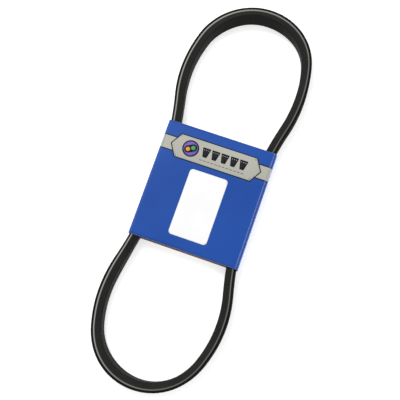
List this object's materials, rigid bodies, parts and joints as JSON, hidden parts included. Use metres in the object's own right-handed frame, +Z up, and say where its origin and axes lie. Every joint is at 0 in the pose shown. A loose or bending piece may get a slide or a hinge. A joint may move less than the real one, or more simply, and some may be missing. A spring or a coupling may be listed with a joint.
{
  "type": "endless v-belt in a paperboard sleeve",
  "caption": "Endless wrapped V-belt lying flat as two long loops, held at its middle by a folded paperboard sleeve with a plate-shaped badge and a blank label.",
  "frame": {"origin": "on the surface that the sleeve lies on, under the middle of the sleeve and of the belt", "axes": "+Z up out of the flat belt, +Y along the two loops, +X across the sleeve"},
  "size_m": [0.122, 0.3786, 0.0183],
  "materials": {
    "cover_fabric": "matte, bias-woven fabric filled with rubber",
    "inner_fabric": "matte rubberised weave",
    "gum": "matte",
    "bond_gum": "matte",
    "cord": "twisted cord",
    "board": "printed, satin varnish outside, bare board inside",
    "glue": "dry glue",
    "label": "smooth white paper",
    "badge_print": "printed, satin varnish",
    "dark_print": "printed, satin varnish",
    "accent_print": "printed, satin varnish"
  },
  "bodies": {
    "belt": {"outer_cover_ply": "cover_fabric", "inner_cover_ply": "inner_fabric", "tension_gum": "gum", "upper_adhesion_gum": "bond_gum", "tensile_cord": "cord", "lower_adhesion_gum": "bond_gum", "compression_core": "gum"},
    "sleeve": {"sleeve_board": "board", "sleeve_glue": "glue", "blank_label": "label"}
  },
  "joints": [
    {"name": "sleeve_slide", "type": "slide", "parent": "belt", "child": "sleeve", "axis": [0, 1, 0], "range_m": [-0.0015, 0.0015]}
  ]
}
